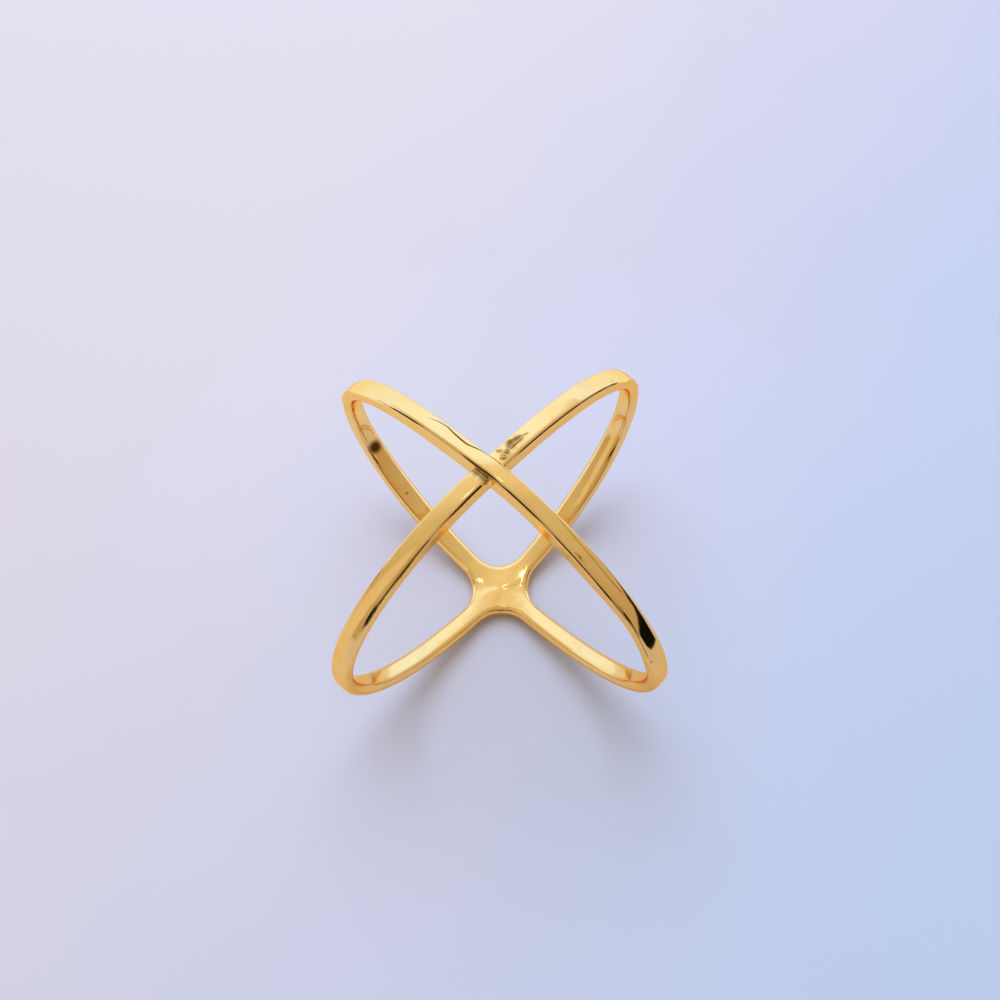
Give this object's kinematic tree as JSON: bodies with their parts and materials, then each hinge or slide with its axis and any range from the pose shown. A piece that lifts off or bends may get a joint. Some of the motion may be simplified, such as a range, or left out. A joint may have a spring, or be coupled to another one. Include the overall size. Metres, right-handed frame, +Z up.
{
  "type": "criss-cross finger ring",
  "caption": "Polished gold finger ring whose slanted oval bands cross at the front and meet in a broad soldered joint at the palm side.",
  "frame": {"origin": "bottom centre of the bounding box, on the surface that the palm joint rests on", "axes": "+Z up from the palm joint to the front crossing, +Y along the finger towards the far lobes, +X across the finger"},
  "size_m": [0.02, 0.0208, 0.0199],
  "materials": {
    "gold": "polished yellow gold"
  },
  "bodies": {
    "root": {"ring": "gold"}
  },
  "joints": []
}
